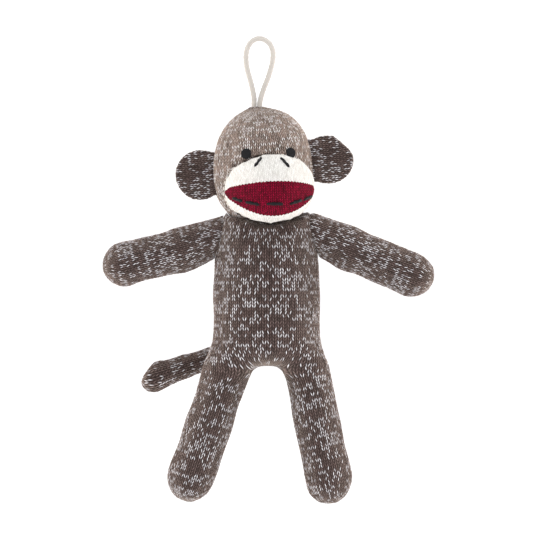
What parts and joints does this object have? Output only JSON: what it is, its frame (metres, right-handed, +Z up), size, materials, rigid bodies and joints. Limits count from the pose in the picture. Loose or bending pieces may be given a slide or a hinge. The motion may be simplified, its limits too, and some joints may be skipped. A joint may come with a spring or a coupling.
{
  "type": "stuffed monkey",
  "caption": "Stuffed knitted monkey with long arms, legs and a tail, contrast muzzle, and a cord loop on the crown to hang it by.",
  "frame": {"origin": "inside top of the hanging loop, where the hook or peg goes", "axes": "+Z up towards the head, the face looks towards -Y, the toy's own left side is +X"},
  "size_m": [0.1814, 0.0749, 0.2575],
  "materials": {
    "knit": "marled brown and white cotton jersey knit",
    "muzzle_knit": "off-white cotton jersey knit",
    "red_knit": "deep red cotton jersey knit",
    "black_thread": "black embroidery thread",
    "loop_cord": "soft cream cotton cord",
    "fibre": "polyester fibre stuffing"
  },
  "bodies": {
    "head": {"head_cover": "knit", "head_filling": "fibre", "muzzle_cover": "muzzle_knit", "muzzle_filling": "fibre", "muzzle_seam": "muzzle_knit", "lips": "red_knit", "mouth_stitches": "black_thread", "nostril_stitches": "black_thread", "eye_left": "black_thread", "eye_right": "black_thread", "hanging_loop": "loop_cord", "crown_stitches": "knit"},
    "neck": {"neck_seam": "knit"},
    "torso": {"torso_cover": "knit", "torso_filling": "fibre", "back_seam": "knit", "arm_left_seam": "knit", "arm_right_seam": "knit", "tail_seam": "knit"},
    "ear_left": {"ear_left_cover": "knit", "ear_left_filling": "fibre"},
    "ear_right": {"ear_right_cover": "knit", "ear_right_filling": "fibre"},
    "shoulder_left": {"arm_left_shoulder_wad": "fibre"},
    "arm_left": {"arm_left_cover": "knit", "arm_left_filling": "fibre"},
    "shoulder_right": {"arm_right_shoulder_wad": "fibre"},
    "arm_right": {"arm_right_cover": "knit", "arm_right_filling": "fibre"},
    "hip_left": {"leg_left_hip_wad": "fibre"},
    "leg_left": {"leg_left_cover": "knit", "leg_left_filling": "fibre"},
    "hip_right": {"leg_right_hip_wad": "fibre"},
    "leg_right": {"leg_right_cover": "knit", "leg_right_filling": "fibre"},
    "tail": {"tail_cover": "knit", "tail_filling": "fibre"}
  },
  "joints": [
    {"name": "head_nod", "type": "hinge", "parent": "head", "child": "neck", "pos_m": [0.003, 0, -0.08], "axis": [1, 0, 0], "range_deg": [0, 18], "stiffness_Nm_per_rad": 0.25},
    {"name": "head_turn", "type": "hinge", "parent": "neck", "child": "torso", "pos_m": [0.003, 0, -0.08], "axis": [0, 0, 1], "range_deg": [-30, 30], "stiffness_Nm_per_rad": 0.12},
    {"name": "ear_left_fold", "type": "hinge", "parent": "head", "child": "ear_left", "pos_m": [0.03051, 0.0003, -0.06566], "axis": [-0.0872, 0, 0.9962], "range_deg": [-40, 22], "stiffness_Nm_per_rad": 0.01},
    {"name": "ear_right_fold", "type": "hinge", "parent": "head", "child": "ear_right", "pos_m": [-0.02726, 0.0003, -0.07313], "axis": [-0.0872, 0, 0.9962], "range_deg": [-22, 40], "stiffness_Nm_per_rad": 0.01},
    {"name": "arm_left_sweep", "type": "hinge", "parent": "torso", "child": "shoulder_left", "pos_m": [0.04429, 0, -0.1134], "axis": [0, 0, 1], "range_deg": [-70, 35], "stiffness_Nm_per_rad": 0.08},
    {"name": "arm_left_lift", "type": "hinge", "parent": "shoulder_left", "child": "arm_left", "pos_m": [0.04429, 0, -0.1134], "axis": [0, 1, 0], "range_deg": [-55, 42], "stiffness_Nm_per_rad": 0.08},
    {"name": "arm_right_sweep", "type": "hinge", "parent": "torso", "child": "shoulder_right", "pos_m": [-0.03611, 0, -0.1118], "axis": [0, 0, 1], "range_deg": [-35, 70], "stiffness_Nm_per_rad": 0.08},
    {"name": "arm_right_lift", "type": "hinge", "parent": "shoulder_right", "child": "arm_right", "pos_m": [-0.03611, 0, -0.1118], "axis": [0, 1, 0], "range_deg": [-50, 50], "stiffness_Nm_per_rad": 0.08},
    {"name": "leg_left_swing", "type": "hinge", "parent": "torso", "child": "hip_left", "pos_m": [0.0265, 0, -0.187], "axis": [1, 0, 0], "range_deg": [-90, 35], "stiffness_Nm_per_rad": 0.1},
    {"name": "leg_left_splay", "type": "hinge", "parent": "hip_left", "child": "leg_left", "pos_m": [0.0265, 0, -0.187], "axis": [0, 1, 0], "range_deg": [-22, 12], "stiffness_Nm_per_rad": 0.1},
    {"name": "leg_right_swing", "type": "hinge", "parent": "torso", "child": "hip_right", "pos_m": [-0.0195, 0, -0.187], "axis": [1, 0, 0], "range_deg": [-90, 35], "stiffness_Nm_per_rad": 0.1},
    {"name": "leg_right_splay", "type": "hinge", "parent": "hip_right", "child": "leg_right", "pos_m": [-0.0195, 0, -0.187], "axis": [0, 1, 0], "range_deg": [-12, 22], "stiffness_Nm_per_rad": 0.1},
    {"name": "tail_swing", "type": "hinge", "parent": "torso", "child": "tail", "pos_m": [0.006, 0.0284, -0.1625], "axis": [0, 0, 1], "range_deg": [-100, 2], "stiffness_Nm_per_rad": 0.02}
  ]
}
